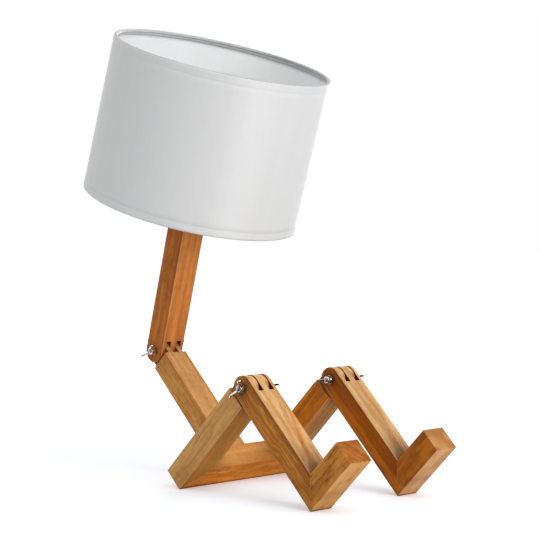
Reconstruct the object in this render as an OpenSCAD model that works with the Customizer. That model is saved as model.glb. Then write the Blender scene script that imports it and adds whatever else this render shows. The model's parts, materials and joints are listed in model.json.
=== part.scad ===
// Robot shaped desk lamp: a sitting figure of square-cut timber with knuckle
// joints at the knees and the waist, and a fabric drum shade for a head.
// +Z is up, X runs along the cross bar, and the feet point towards -Y.

/* [Timber] */
// Width of every bar, measured along the hinge pins
bar_w = 29; // [26:0.5:36]
// Thickness of every bar, in the plane that the joints fold in
bar_t = 25; // [23:0.5:32]
// Radius of the eased edges that run along a bar
edge_r = 1; // [0.4:0.1:2]

/* [Seat frame] */
// Overall width across both thighs
base_w = 151; // [120:1:220]
// Length of a thigh, from the back of the cross bar to its knee pin
thigh_len = 138.5; // [100:0.5:190]
// Length of the torso, from the cross bar to the waist pin
torso_len = 141; // [90:1:190]

/* [Legs] */
// Length of a shin, from the knee pin to the end of the heel
shin_len = 138.5; // [100:0.5:190]
// Length of a foot, from the back of the heel to the toe
foot_len = 70; // [45:1:110]

/* [Pose] */
// Angle between a thigh and its shin
knee_angle = 90; // [87:1:110]
// Forward bend of the post out of the line of the torso
waist_bend = 60; // [35:1:80]

/* [Knuckle joints] */
// Width of a tongue; a thigh and the torso end in two of them
tongue_w = 6; // [5:0.1:7]
// Spacing of the two tongues of a joint
tongue_pitch = 13.8; // [12:0.1:14.5]
// Distance that the round end of a tongue stays back from its neighbours
tongue_setback = 0.9; // [0.2:0.1:1.4]
// Side gap between a tongue and the fingers beside it
finger_gap = 0.3; // [0.1:0.05:0.6]
// Gap between a round finger end and the shoulder that it turns in
shoulder_gap = 1.2; // [1.1:0.1:3]

/* [Wing bolts] */
// Shank diameter of the hinge bolts
bolt_d = 4; // [3.5:0.5:5]
// Radial clearance of a bolt in the wood and in its nut
bolt_clear = 0.08; // [0.03:0.01:0.1]
// Length of shank that stands out of the tightened nut
bolt_spare = 1.5; // [0.5:0.1:4]
// Outside diameter of the washers
washer_d = 9; // [9:0.5:14]
// Thickness of the washers
washer_t = 0.8; // [0.6:0.1:1.6]
// Diameter of a nut's hub where it meets the washer
hub_d = 8.2; // [7.6:0.1:9]
// Height of a hub
hub_h = 4.6; // [4:0.1:6]
// Span from wing tip to wing tip
wing_span = 22.5; // [20:0.5:27]
// Height of the wings above the washer
wing_h = 10.5; // [9:0.5:12]
// Draft of a hub: how much its diameter narrows towards its top
hub_draft = 1; // [0:0.1:1.6]
// Thickness of a wing
wing_t = 2; // [1.6:0.1:2.6]
// Radius of a wing's root, where it grows out of the hub
wing_root_r = 1.9; // [1.6:0.1:2.1]
// Radius of a wing's rounded tip
wing_tip_r = 2.3; // [1.9:0.1:2.8]

/* [Dowels] */
// Diameter of the dowels across the mitres
dowel_d = 6; // [4:1:6]
// Length of the dowels across the mitres
dowel_len = 22; // [14:1:24]
// Spacing of the two dowels in a mitre
dowel_pitch = 12; // [9:0.5:14]
// Diameter of the dowels that hold the torso
torso_dowel_d = 8; // [6:1:8]
// Length of the dowels that hold the torso
torso_dowel_len = 36; // [24:1:44]
// Depth of those dowels in the cross bar
torso_dowel_sink = 16; // [10:1:20]
// Spacing of the two dowels that hold the torso
torso_dowel_pitch = 13; // [11:0.5:15]
// Radial glue gap round a dowel
glue_gap = 0.05; // [0.02:0.01:0.15]
// Free depth beyond the end of a dowel
dowel_end_gap = 0.5; // [0.2:0.1:1]

/* [Post] */
// Length of the post, from the waist pin to its top
post_len = 138; // [120:1:180]
// Tilt of the post's top, which leans the lamp holder forward
seat_tilt = 3; // [0:0.5:6]
// Distance of the cord outlet below the top of the post
outlet_drop = 44; // [36:1:60]
// Bore of the cord bushing
cord_bore_d = 6.5; // [5:0.1:7]
// Outside diameter of the bushing's sleeve
bushing_d = 9.5; // [9:0.1:12]
// Flange diameter of the bushing
bushing_flange_d = 14; // [13:0.5:18]
// Flange thickness of the bushing
bushing_flange_t = 1.6; // [1:0.1:2.5]
// Length of the bushing's sleeve inside the post
bushing_len = 8; // [5:0.5:9]
// Radial clearance of the bushing and of the threaded tube in what they pass
tube_clear = 0.05; // [0.02:0.01:0.1]

/* [Lamp holder] */
// Outside diameter of the threaded tube
nipple_d = 10; // [9:0.5:12]
// Bore of the threaded tube
nipple_bore_d = 7.6; // [6:0.1:7.8]
// Depth of the threaded tube in the post
nipple_sink = 18; // [12:1:24]
// Diameter of the washer on the post
seat_washer_d = 22; // [19:0.5:25]
// Thickness of the washer on the post
seat_washer_t = 1.5; // [1:0.1:2]
// Width across the flats of the lock nut
lock_nut_af = 14; // [14:0.5:17]
// Thickness of the lock nut
lock_nut_t = 3; // [2:0.5:5]
// Outside diameter of the lamp holder
holder_d = 38.6; // [38:0.1:42]
// Wall of the lamp holder
holder_wall = 2; // [1.6:0.1:2.4]
// Height of the holder's cap
cap_h = 21; // [19:0.5:26]
// Radius of the cap's rounded foot
cap_foot_r = 9; // [4:0.5:9]
// Height of the threaded boss inside the cap
cap_boss_h = 8; // [6:0.5:10]
// Height of the holder's barrel
barrel_h = 32; // [30:0.5:36]
// Diameter of the barrel's shoulder, which carries the shade
shoulder_d = 50; // [46:0.5:54]
// Height of the shoulder's underside above the bottom of the barrel
shoulder_z = 4.5; // [3:0.5:6]
// Thickness of the shoulder
shoulder_t = 2.5; // [2:0.1:4]
// Outside diameter of the ring nut that clamps the shade
ring_nut_d = 57; // [54:0.5:62]
// Height of the ring nut
ring_nut_h = 9; // [7:0.5:12]
// Thickness of the ring nut's clamping flange
ring_nut_flange_t = 2.2; // [1.5:0.1:3]
// Thickness of the ceramic core
core_h = 10; // [8:0.5:12]
// Outside diameter of the brass screw shell
screw_shell_d = 27.6; // [27.4:0.1:28.4]
// Wall of the brass screw shell
screw_shell_wall = 0.5; // [0.3:0.1:0.6]
// Height of the brass screw shell
screw_shell_h = 24; // [20:0.5:26]
// Height of the core's collar round the screw shell
collar_h = 5; // [3:0.5:8]
// Height of the centre contact above the core
contact_h = 3; // [2:0.5:4]
// Diameter of the centre contact
contact_d = 5; // [3:0.5:6]
// Diameter of the centre contact's foot
contact_foot_d = 8; // [7:0.5:10]
// Thickness of the barrel's lip over the screw shell
barrel_lip_t = 2; // [1:0.5:2.5]
// Running clearance between the holder's parts
holder_clear = 0.15; // [0.05:0.05:0.25]

/* [Bulb] */
// Diameter of the bulb's globe
bulb_d = 60; // [45:1:66]
// Length of the bulb from its contact to the top of the globe
bulb_len = 112; // [98:1:122]
// Diameter of the bulb's screw cap
bulb_cap_d = 26.2; // [26:0.1:26.4]
// Height of the bulb's screw cap
bulb_cap_h = 23; // [20:0.5:26]
// Height of the insulator and contact below the screw cap
bulb_tip_h = 4; // [3:0.5:5]
// Diameter of the bulb's contact
bulb_tip_d = 7; // [5:0.5:9]
// Diameter of the insulator where it meets the screw cap
insulator_d = 18; // [14:0.5:22]
// Height of the housing's straight neck
neck_h = 5; // [3:0.5:8]
// Wall of the globe and of the housing
bulb_wall = 1; // [0.6:0.1:1.6]
// Depth of the housing's rim below the middle of the globe
globe_cut = 14; // [8:1:18]

/* [Shade] */
// Outside diameter of the shade
shade_d = 226; // [180:1:280]
// Height of the shade
shade_h = 160; // [132:1:200]
// Thickness of the laminated cover
cover_t = 0.9; // [0.6:0.1:1.4]
// Width of the hem tape on the outside
hem_w = 8; // [5:0.5:12]
// Thickness of the hem tape
hem_t = 0.3; // [0.2:0.05:0.6]
// Diameter of the steel wire in the rims
wire_d = 3; // [2.4:0.1:4]
// Depth of the shade's centre ring above its lower rim
fitter_rise = 13; // [9:0.5:20]
// Thickness of the centre ring
fitter_t = 1.2; // [1:0.1:2]
// Distance that the centre ring stands out beyond the holder's shoulder
fitter_lip = 2.5; // [2:0.5:6]
// Number of spokes
spoke_count = 3; // [3:1:4]

/* [Turned rest of the fasteners] */
// Turn of the left knee's wing nut
left_nut_turn = 83; // [-90:1:90]
// Turn of the right knee's wing nut
right_nut_turn = -54; // [-90:1:90]
// Turn of the waist's wing nut
waist_nut_turn = -81; // [-90:1:90]
// Turn of the knees' wing bolts
knee_bolt_turn = -56; // [-90:1:90]
// Turn of the waist's wing bolt
waist_bolt_turn = 63; // [-90:1:90]

/* [Hidden] */
$fn = 64;

sides = [-1, 1];
over = 1;                                   // overshoot of a cutting tool
half_space = 400;                           // size of the block that cuts a mitre

wood_light = [0.80, 0.60, 0.38];
wood_warm = [0.76, 0.50, 0.27];
wood_red = [0.66, 0.38, 0.18];
beech = [0.86, 0.72, 0.52];
chrome = [0.78, 0.79, 0.80];
zinc = [0.70, 0.71, 0.72];
brass = [0.80, 0.65, 0.32];
black_plastic = [0.10, 0.10, 0.11];
ivory = [0.93, 0.92, 0.88];
opal = [0.96, 0.96, 0.94];
linen = [0.93, 0.93, 0.92];

// Sitting pose. A point of the seat frame lies "along" the thighs and "above"
// their underside; the frame tips back until cross bar and heels stand level.
leg_x = (base_w - bar_w) / 2;
heel_along = thigh_len - shin_len * cos(knee_angle) - bar_t / 2 * sin(knee_angle);
heel_above = bar_t / 2 - shin_len * sin(knee_angle) + bar_t / 2 * cos(knee_angle);
base_tilt = atan2(edge_r - heel_above, heel_along - edge_r)
    - asin(edge_r / norm([heel_along - edge_r, heel_above - edge_r]));
base_lift = edge_r * (1 - sin(base_tilt) - cos(base_tilt));

// Lean of the post and of the shade from the vertical
post_lean = waist_bend - base_tilt;
shade_lean = post_lean + seat_tilt;

// Heights along the lamp holder's axis, counted from the top of the post
cap_z = seat_washer_t + lock_nut_t;
barrel_z = cap_z + cap_h;
fitter_z = barrel_z + shoulder_z + shoulder_t;
core_z = barrel_z - core_h / 2;
shell_z = core_z + core_h;
bulb_z = shell_z + contact_h;
bulb_cap_z = bulb_z + bulb_tip_h;
housing_z = bulb_cap_z + bulb_cap_h;
globe_z = bulb_z + bulb_len - bulb_d / 2;
shade_z = fitter_z - fitter_rise;

// Edges between the fingers of a joint, from the left of the bar to its right
finger_edges = [-bar_w, -(tongue_pitch + tongue_w) / 2, (tongue_w - tongue_pitch) / 2,
    (tongue_pitch - tongue_w) / 2, (tongue_pitch + tongue_w) / 2, bar_w];

// Cover of the shade inside its hem tape, and the wire rings inside the cover
cover_d = shade_d - 2 * (hem_t + glue_gap);
wire_ring_r = (cover_d - wire_d) / 2 - cover_t - glue_gap;
wire_ring_z = hem_t + glue_gap + wire_d / 2;

// The origin lies below the middle of the lamp, between toes and shade
function forward(along, above) = along * cos(base_tilt) - above * sin(base_tilt);
toe_reach = forward(
    thigh_len - shin_len * cos(knee_angle) + (foot_len - bar_t / 2) * sin(knee_angle),
    bar_t / 2 - shin_len * sin(knee_angle) - (foot_len - bar_t / 2) * cos(knee_angle));
seat_reach = forward(bar_w / 2, bar_t + torso_len) + post_len * sin(post_lean);
back_reach = seat_reach + shade_z * sin(shade_lean) - shade_d / 2 * cos(shade_lean);
origin_y = (toe_reach + back_reach) / 2;

// ---------------------------------------------------------------- placing

// Seat frame: -Y runs along the thighs, +Z along the torso
module in_seat_frame() {
    translate([0, origin_y, base_lift]) rotate([-base_tilt, 0, 0]) children();
}

module at_knee(side) {
    in_seat_frame() translate([side * leg_x, -thigh_len, bar_t / 2]) children();
}

module at_waist() {
    in_seat_frame() translate([0, -bar_w / 2, bar_t + torso_len]) children();
}

// Leg: +Z runs down the shin, +Y towards the toe
module in_leg(side) {
    at_knee(side) rotate([270 - knee_angle, 0, 0]) children();
}

module in_post() {
    at_waist() rotate([waist_bend, 0, 0]) children();
}

// Lamp holder: +Z runs up its axis from the top of the post
module on_post() {
    in_post() translate([0, 0, post_len]) rotate([seat_tilt, 0, 0]) children();
}

// A pin's axis: +Z runs out of the right-hand (+X) or the left-hand (-X) side
module along_pin(side) {
    rotate([0, side * 90, 0]) children();
}

// ----------------------------------------------------------------- timber

module eased_section(across, thick) {
    square([across - 2 * edge_r, thick], center = true);
    square([across, thick - 2 * edge_r], center = true);
    for (x = sides, y = sides)
        translate([x * (across / 2 - edge_r), y * (thick / 2 - edge_r)]) circle(r = edge_r);
}

module timber(length) {
    linear_extrude(length) eased_section(bar_w, bar_t);
}

// Round end of a bar, turned about the pin with the same eased edges
module round_end() {
    along_pin(1) rotate_extrude() intersection() {
        eased_section(bar_t, bar_w);
        translate([0, -bar_w]) square([bar_t, 2 * bar_w]);
    }
}

// One finger's slot, cut through a bar's end down to the straight shoulder
module finger_slot(index) {
    low = finger_edges[index] - finger_gap / 2;
    high = finger_edges[index + 1] + finger_gap / 2;
    translate([low, -bar_t / 2 - over, -bar_t / 2 - over])
        cube([high - low, bar_t + 2 * over, bar_t + shoulder_gap + over]);
}

// Bar that hinges on a pin at the origin and runs up +Z, with the given fingers
// cut away and its round end set back from the pin
module hinged_bar(length, slots, setback) {
    difference() {
        translate([0, 0, setback]) {
            timber(length - setback);
            round_end();
        }
        for (index = slots) finger_slot(index);
        along_pin(1) cylinder(h = bar_w + 2 * over, r = bolt_d / 2 + bolt_clear, center = true);
    }
}

// Bar that ends in three fingers: a shin or the post
module forked_bar(length) {
    hinged_bar(length, [1, 3], 0);
}

// Bar that ends in two tongues, which fit between three fingers: a thigh or the torso
module tongued_bar(length) {
    hinged_bar(length, [0, 2, 4], tongue_setback);
}

// Everything above the plane z = 0
module cut_away() {
    translate([-half_space / 2, -half_space / 2, 0]) cube(half_space);
}

// Dowel across the plane z = 0; a bore has the glue gap and the end gap as well
module dowel(diameter, length, is_bore) {
    cylinder(h = length + (is_bore ? 2 * dowel_end_gap : 0),
        r = diameter / 2 + (is_bore ? glue_gap : 0), center = true);
}

// Corner of the seat frame: +Z crosses the mitre, from cross bar to thigh
module at_corner(side) {
    in_seat_frame() translate([side * leg_x, -bar_w / 2, bar_t / 2]) rotate([90, 0, side * 45])
        children();
}

module corner_pair(is_bore) {
    for (row = sides) translate([0, row * dowel_pitch / 2, 0]) dowel(dowel_d, dowel_len, is_bore);
}

// Heel: +Z crosses the mitre, from shin to foot
module at_heel() {
    translate([0, 0, shin_len - bar_t / 2]) rotate([-45, 0, 0]) children();
}

module heel_pair(is_bore) {
    for (row = sides) translate([row * dowel_pitch / 2, 0, 0]) dowel(dowel_d, dowel_len, is_bore);
}

module torso_pair(is_bore) {
    in_seat_frame() for (row = sides)
        translate([row * torso_dowel_pitch / 2, -bar_w / 2,
            bar_t - torso_dowel_sink + torso_dowel_len / 2])
            dowel(torso_dowel_d, torso_dowel_len, is_bore);
}

module crossbar() {
    color(wood_warm) difference() {
        in_seat_frame() translate([-base_w / 2, -bar_w / 2, bar_t / 2]) rotate([90, 0, 90])
            timber(base_w);
        for (side = sides) at_corner(side) {
            cut_away();
            corner_pair(true);
        }
        torso_pair(true);
    }
}

module thigh(side) {
    color(wood_light) difference() {
        at_knee(side) rotate([-90, 0, 0]) tongued_bar(thigh_len);
        at_corner(side) {
            mirror([0, 0, 1]) cut_away();
            corner_pair(true);
        }
    }
}

module torso() {
    color(wood_light) difference() {
        at_waist() rotate([180, 0, 0]) tongued_bar(torso_len);
        torso_pair(true);
    }
}

module corner_dowels() {
    color(beech) for (side = sides) at_corner(side) corner_pair(false);
}

module torso_dowels() {
    color(beech) torso_pair(false);
}

module shin(side) {
    color(wood_warm) in_leg(side) difference() {
        forked_bar(shin_len);
        at_heel() {
            cut_away();
            heel_pair(true);
        }
    }
}

// Bar of a foot, with eased edges round its toe end as well
module toe_bar() {
    eased_length = foot_len + bar_t;
    intersection() {
        timber(foot_len);
        translate([0, 0, foot_len - eased_length / 2]) {
            rotate([90, 0, 0]) linear_extrude(2 * bar_t, center = true)
                eased_section(bar_w, eased_length);
            rotate([90, 0, 90]) linear_extrude(2 * bar_w, center = true)
                eased_section(bar_t, eased_length);
        }
    }
}

module foot(side) {
    color(wood_warm) in_leg(side) difference() {
        translate([0, -bar_t / 2, shin_len - bar_t / 2]) rotate([-90, 0, 0]) toe_bar();
        at_heel() {
            mirror([0, 0, 1]) cut_away();
            heel_pair(true);
        }
    }
}

module heel_dowels(side) {
    color(beech) in_leg(side) at_heel() heel_pair(false);
}

// -------------------------------------------------------------- fasteners

module washers() {
    color(zinc) for (side = sides) along_pin(side) translate([0, 0, bar_w / 2]) difference() {
        cylinder(h = washer_t, d = washer_d);
        translate([0, 0, -over]) cylinder(h = washer_t + 2 * over, r = bolt_d / 2 + bolt_clear);
    }
}

// Flat outline of two circles and the band that their outer tangents bound
module tapered_link(from, from_r, to, to_r) {
    reach = to - from;
    heading = atan2(reach[1], reach[0]);
    spread = acos((from_r - to_r) / norm(reach));
    function rim(centre, radius, angle) = centre + radius * [cos(angle), sin(angle)];
    translate(from) circle(r = from_r);
    translate(to) circle(r = to_r);
    polygon([
        rim(from, from_r, heading + spread), rim(from, from_r, heading - spread),
        rim(to, to_r, heading - spread), rim(to, to_r, heading + spread)]);
}

// Conical hub with two raised wings, standing on the plane z = 0
module winged_hub() {
    top_d = hub_d - hub_draft;
    cylinder(h = hub_h, d1 = hub_d, d2 = top_d);
    for (side = [0, 180]) rotate([0, 0, side]) rotate([90, 0, 90])
        linear_extrude(wing_t, center = true)
            tapered_link([top_d / 2, hub_h / 2], wing_root_r,
                [wing_span / 2 - wing_tip_r, wing_h - wing_tip_r], wing_tip_r);
}

module wing_bolt(turn) {
    grip = bar_w / 2 + washer_t;
    shank = 2 * grip + hub_h + bolt_spare;
    color(chrome) rotate([turn, 0, 0]) along_pin(1) translate([0, 0, grip]) {
        winged_hub();
        translate([0, 0, -shank]) cylinder(h = shank + hub_h / 2, d = bolt_d);
    }
}

module wing_nut(turn) {
    color(chrome) rotate([turn, 0, 0]) along_pin(-1) translate([0, 0, bar_w / 2 + washer_t])
        difference() {
            winged_hub();
            translate([0, 0, -over])
                cylinder(h = wing_h + 2 * over, r = bolt_d / 2 + bolt_clear);
        }
}

// ------------------------------------------------------------------- post

// Seat for the lamp holder, the bore for its threaded tube and the cord's way
// down to the outlet in the back of the post
module post() {
    color(wood_red) difference() {
        in_post() forked_bar(post_len + bar_t);
        on_post() {
            cut_away();
            translate([0, 0, -nipple_sink])
                cylinder(h = nipple_sink + over, r = nipple_d / 2 + tube_clear);
            translate([0, 0, -outlet_drop - nipple_bore_d / 2])
                cylinder(h = outlet_drop, d = nipple_bore_d);
        }
        in_post() at_outlet() {
            translate([0, 0, -bushing_len])
                cylinder(h = bushing_len + over, r = bushing_d / 2 + tube_clear);
            translate([0, 0, -bar_t / 2]) cylinder(h = bar_t / 2, d = nipple_bore_d);
        }
    }
}

// Cord outlet: +Z points out of the back of the post
module at_outlet() {
    translate([0, bar_t / 2, post_len - outlet_drop]) rotate([-90, 0, 0]) children();
}

module cord_bushing() {
    color(black_plastic) in_post() at_outlet() difference() {
        union() {
            translate([0, 0, -bushing_len]) cylinder(h = bushing_len, d = bushing_d);
            cylinder(h = bushing_flange_t, d = bushing_flange_d);
        }
        translate([0, 0, -bushing_len - over])
            cylinder(h = bushing_len + bushing_flange_t + 2 * over, d = cord_bore_d);
    }
}

// ------------------------------------------------------------ lamp holder

// Ring on the plane z = 0
module ring(outer_d, inner_d, height) {
    difference() {
        cylinder(h = height, d = outer_d);
        translate([0, 0, -over]) cylinder(h = height + 2 * over, d = inner_d);
    }
}

// Half outline of a cup with a rounded foot, for turning
module cup_outline(radius, height, foot_r) {
    square([radius - foot_r, height]);
    translate([0, foot_r]) square([radius, height - foot_r]);
    translate([radius - foot_r, foot_r]) intersection() {
        circle(r = foot_r);
        translate([-foot_r, -foot_r]) square(2 * foot_r);
    }
}

module threaded_tube() {
    color(zinc) on_post() translate([0, 0, -nipple_sink])
        ring(nipple_d, nipple_bore_d, nipple_sink + cap_z + cap_boss_h);
}

module seat_washer() {
    color(zinc) on_post() ring(seat_washer_d, nipple_d + 2 * tube_clear, seat_washer_t);
}

module lock_nut() {
    color(zinc) on_post() translate([0, 0, seat_washer_t]) difference() {
        cylinder(h = lock_nut_t, d = lock_nut_af / cos(30), $fn = 6);
        translate([0, 0, -over])
            cylinder(h = lock_nut_t + 2 * over, r = nipple_d / 2 + tube_clear);
    }
}

// Cap: a round-footed cup with a boss that screws on to the threaded tube
module holder_cap() {
    color(black_plastic) on_post() translate([0, 0, cap_z]) difference() {
        rotate_extrude() cup_outline(holder_d / 2, cap_h, cap_foot_r);
        difference() {
            rotate_extrude() translate([0, holder_wall])
                cup_outline(holder_d / 2 - holder_wall, cap_h, cap_foot_r - holder_wall);
            cylinder(h = cap_boss_h, d = nipple_d + 4 * holder_wall);
        }
        translate([0, 0, -over]) cylinder(h = cap_h, r = nipple_d / 2 + tube_clear);
    }
}

// Ceramic core, held between cap and barrel, with a collar round the screw shell
module holder_core() {
    core_d = holder_d - 2 * holder_wall - 2 * holder_clear;
    color(ivory) on_post() translate([0, 0, core_z]) {
        cylinder(h = core_h, d = core_d);
        translate([0, 0, core_h]) ring(core_d - 2 * holder_wall,
            screw_shell_d + 2 * holder_clear, collar_h);
    }
}

// Sprung brass contact in the middle of the core
module centre_contact() {
    color(brass) on_post() translate([0, 0, shell_z]) {
        cylinder(h = contact_h / 2, d = contact_foot_d);
        cylinder(h = contact_h, d = contact_d);
    }
}

module screw_shell() {
    color(brass) on_post() translate([0, 0, shell_z])
        ring(screw_shell_d, screw_shell_d - 2 * screw_shell_wall, screw_shell_h);
}

// Barrel: holds the core from above and carries the shade on its shoulder
module holder_barrel() {
    inside_d = holder_d - 2 * holder_wall;
    neck_d = inside_d - 2 * holder_wall + 2 * holder_clear;
    color(black_plastic) on_post() translate([0, 0, barrel_z]) difference() {
        union() {
            cylinder(h = barrel_h, d = holder_d);
            translate([0, 0, shoulder_z]) cylinder(h = shoulder_t, d = shoulder_d);
        }
        translate([0, 0, -over]) cylinder(h = core_h / 2 + over, d = inside_d);
        cylinder(h = barrel_h - barrel_lip_t, d = neck_d);
        cylinder(h = barrel_h + over, d = screw_shell_d + 2 * holder_clear);
    }
}

module ring_nut() {
    skirt_d = holder_d + 4 * holder_wall;
    color(black_plastic) on_post() translate([0, 0, fitter_z + fitter_t]) {
        ring(ring_nut_d, holder_d + 2 * holder_clear, ring_nut_flange_t);
        ring(skirt_d, holder_d + 2 * holder_clear, ring_nut_h);
    }
}

// ------------------------------------------------------------------- bulb

module bulb_contact() {
    color(brass) on_post() translate([0, 0, bulb_z])
        cylinder(h = bulb_tip_h, d1 = bulb_tip_d, d2 = insulator_d);
}

module bulb_cap() {
    color(zinc) on_post() translate([0, 0, bulb_cap_z]) difference() {
        cylinder(h = bulb_cap_h, d = bulb_cap_d);
        translate([0, 0, bulb_wall])
            cylinder(h = bulb_cap_h, d = bulb_cap_d - 2 * bulb_wall);
    }
}

// Tapered housing between the screw cap and the globe
module bulb_housing() {
    rim_d = 2 * sqrt(bulb_d * bulb_d / 4 - globe_cut * globe_cut);
    neck_d = bulb_cap_d + 2 * bulb_wall;
    taper_h = globe_z - globe_cut - housing_z - neck_h;
    module tapered_body(inset, extra) {
        cylinder(h = neck_h, d = neck_d - 2 * inset);
        translate([0, 0, neck_h])
            cylinder(h = taper_h + extra, d1 = neck_d - 2 * inset, d2 = rim_d - 2 * inset);
    }
    color(ivory) on_post() translate([0, 0, housing_z]) difference() {
        tapered_body(0, 0);
        translate([0, 0, bulb_wall]) tapered_body(bulb_wall, 0);
    }
}

module bulb_globe() {
    color(opal) on_post() translate([0, 0, globe_z]) rotate_extrude() intersection() {
        difference() {
            circle(d = bulb_d);
            circle(d = bulb_d - 2 * bulb_wall);
        }
        translate([0, -globe_cut]) square(bulb_d);
    }
}

// ------------------------------------------------------------------ shade

module wire_ring() {
    rotate_extrude() translate([wire_ring_r, 0]) circle(d = wire_d);
}

module in_shade() {
    on_post() translate([0, 0, shade_z]) children();
}

module shade_cover() {
    color(linen) in_shade() translate([0, 0, hem_t + glue_gap])
        ring(cover_d, cover_d - 2 * cover_t, shade_h - 2 * (hem_t + glue_gap));
}

// Hem tapes: a strip outside and a turned edge that covers the wire
module shade_hems() {
    fold_d = cover_d - 2 * (cover_t + wire_d);
    color(linen) in_shade() for (top = [false, true])
        translate([0, 0, top ? shade_h : 0]) mirror([0, 0, top ? 1 : 0]) {
            ring(shade_d, cover_d + 2 * glue_gap, hem_w);
            ring(shade_d, fold_d, hem_t);
        }
}

module shade_top_ring() {
    color(zinc) in_shade() translate([0, 0, shade_h - wire_ring_z]) wire_ring();
}

module shade_lower_ring() {
    color(zinc) in_shade() translate([0, 0, wire_ring_z]) wire_ring();
}

// Spider: the centre ring that the holder clamps, and spokes that end on the lower ring
module shade_spider() {
    fitter_d = shoulder_d + 2 * fitter_lip;
    spoke_in = (shoulder_d + wire_d / 2) / 2;
    run = wire_ring_r - spoke_in;
    rise = fitter_rise - (wire_d - fitter_t) / 2 - wire_ring_z;
    color(zinc) in_shade() {
        translate([0, 0, fitter_rise]) ring(fitter_d, holder_d + 2 * holder_clear, fitter_t);
        for (index = [0 : spoke_count - 1]) rotate([0, 0, 90 + index * 360 / spoke_count])
            translate([wire_ring_r, 0, wire_ring_z]) rotate([0, -atan2(run, rise), 0])
                translate([0, 0, wire_d / 2])
                    cylinder(h = norm([run, rise]) - wire_d / 2, d = wire_d);
    }
}

crossbar();
thigh(-1);  // left_thigh
thigh(1);  // right_thigh
torso();
corner_dowels();
torso_dowels();
shin(-1);  // left_shin
foot(-1);  // left_foot
heel_dowels(-1);  // left_heel_dowels
at_knee(-1) washers();  // left_knee_washers
shin(1);  // right_shin
foot(1);  // right_foot
heel_dowels(1);  // right_heel_dowels
at_knee(1) washers();  // right_knee_washers
at_knee(-1) wing_bolt(knee_bolt_turn);  // left_knee_bolt
at_knee(-1) wing_nut(left_nut_turn);  // left_knee_nut
at_knee(1) wing_bolt(knee_bolt_turn);  // right_knee_bolt
at_knee(1) wing_nut(right_nut_turn);  // right_knee_nut
at_waist() wing_bolt(waist_bolt_turn);  // waist_bolt
at_waist() wing_nut(waist_nut_turn);  // waist_nut
at_waist() washers();  // waist_washers
post();
cord_bushing();
threaded_tube();
seat_washer();
lock_nut();
holder_cap();
holder_core();
centre_contact();
screw_shell();
holder_barrel();
ring_nut();
bulb_contact();
bulb_cap();
bulb_housing();
bulb_globe();
shade_cover();
shade_hems();
shade_top_ring();
shade_lower_ring();
shade_spider();
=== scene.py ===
"""Looks of the robot shaped desk lamp: timber, cloth shade, wing bolts, bulb, light and camera.

All lengths are in metres, in the part's own frame: +Z is up, X runs along the
cross bar, and the feet point towards -Y.
"""
import json
import math

import bmesh
import bpy
from mathutils import Matrix, Vector


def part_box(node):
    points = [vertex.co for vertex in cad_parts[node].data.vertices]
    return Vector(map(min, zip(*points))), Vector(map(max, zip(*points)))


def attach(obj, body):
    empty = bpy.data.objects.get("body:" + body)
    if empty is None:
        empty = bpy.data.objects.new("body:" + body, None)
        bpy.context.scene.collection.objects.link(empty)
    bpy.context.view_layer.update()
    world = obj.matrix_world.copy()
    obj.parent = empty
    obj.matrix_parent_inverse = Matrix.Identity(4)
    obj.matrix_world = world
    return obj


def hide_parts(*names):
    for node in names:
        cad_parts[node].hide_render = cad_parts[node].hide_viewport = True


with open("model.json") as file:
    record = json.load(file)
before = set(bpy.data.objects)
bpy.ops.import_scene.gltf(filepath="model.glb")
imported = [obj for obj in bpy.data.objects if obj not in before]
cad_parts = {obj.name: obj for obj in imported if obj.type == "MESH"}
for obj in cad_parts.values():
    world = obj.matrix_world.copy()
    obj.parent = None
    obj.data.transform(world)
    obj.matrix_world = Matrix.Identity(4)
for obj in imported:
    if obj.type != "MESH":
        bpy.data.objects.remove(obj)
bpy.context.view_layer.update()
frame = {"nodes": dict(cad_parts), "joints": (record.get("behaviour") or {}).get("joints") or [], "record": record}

MM = 0.001
TURN = 2 * math.pi


# ------------------------------------------------------------- places and sizes

def middle(node):
    """Middle of a CAD node's box."""
    low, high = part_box(node)
    return (low + high) / 2


def joint_place(name):
    return Vector(next(j["pos_m"] for j in frame["joints"] if j["name"] == name))


def mount(name):
    return next(m for m in frame["record"]["mounts"] if m["name"] == name)


outlet_axis = Vector(mount("cord_inlet")["axis"])
WAIST_BEND = math.radians(60)
SEAT_TILT = math.radians(3)
POST_LEAN = math.atan2(outlet_axis.z, outlet_axis.y)
SHADE_LEAN = POST_LEAN + SEAT_TILT
BASE_TILT = WAIST_BEND - POST_LEAN

PIN = {name: joint_place(name) for name in ("left_knee", "right_knee", "waist")}

BAR_W, BAR_T = 29 * MM, 25 * MM
SHIN_LEN = 138.5 * MM


# --------------------------------------------------------------- camera and light

PHOTO_PX = 540
CAMERA_PLACE = Vector((-1.2159, -1.2338, 0.2805))
CAMERA_AZIMUTH = math.radians(-45.45)
CAMERA_ELEVATION = math.radians(2.34)
CAMERA_ROLL = math.radians(0.17)
FOCAL_PX = 1728.8
CENTRE_PX = (279.6, 275.9)
SENSOR = 36.0


def direction(azimuth, elevation):
    """Unit vector from the object towards something seen at these angles."""
    level = math.cos(elevation)
    return Vector((math.sin(azimuth) * level, -math.cos(azimuth) * level, math.sin(elevation)))


def add_object(name, data):
    """A new object in the scene."""
    made = bpy.data.objects.new(name, data)
    bpy.context.scene.collection.objects.link(made)
    return made


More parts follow.
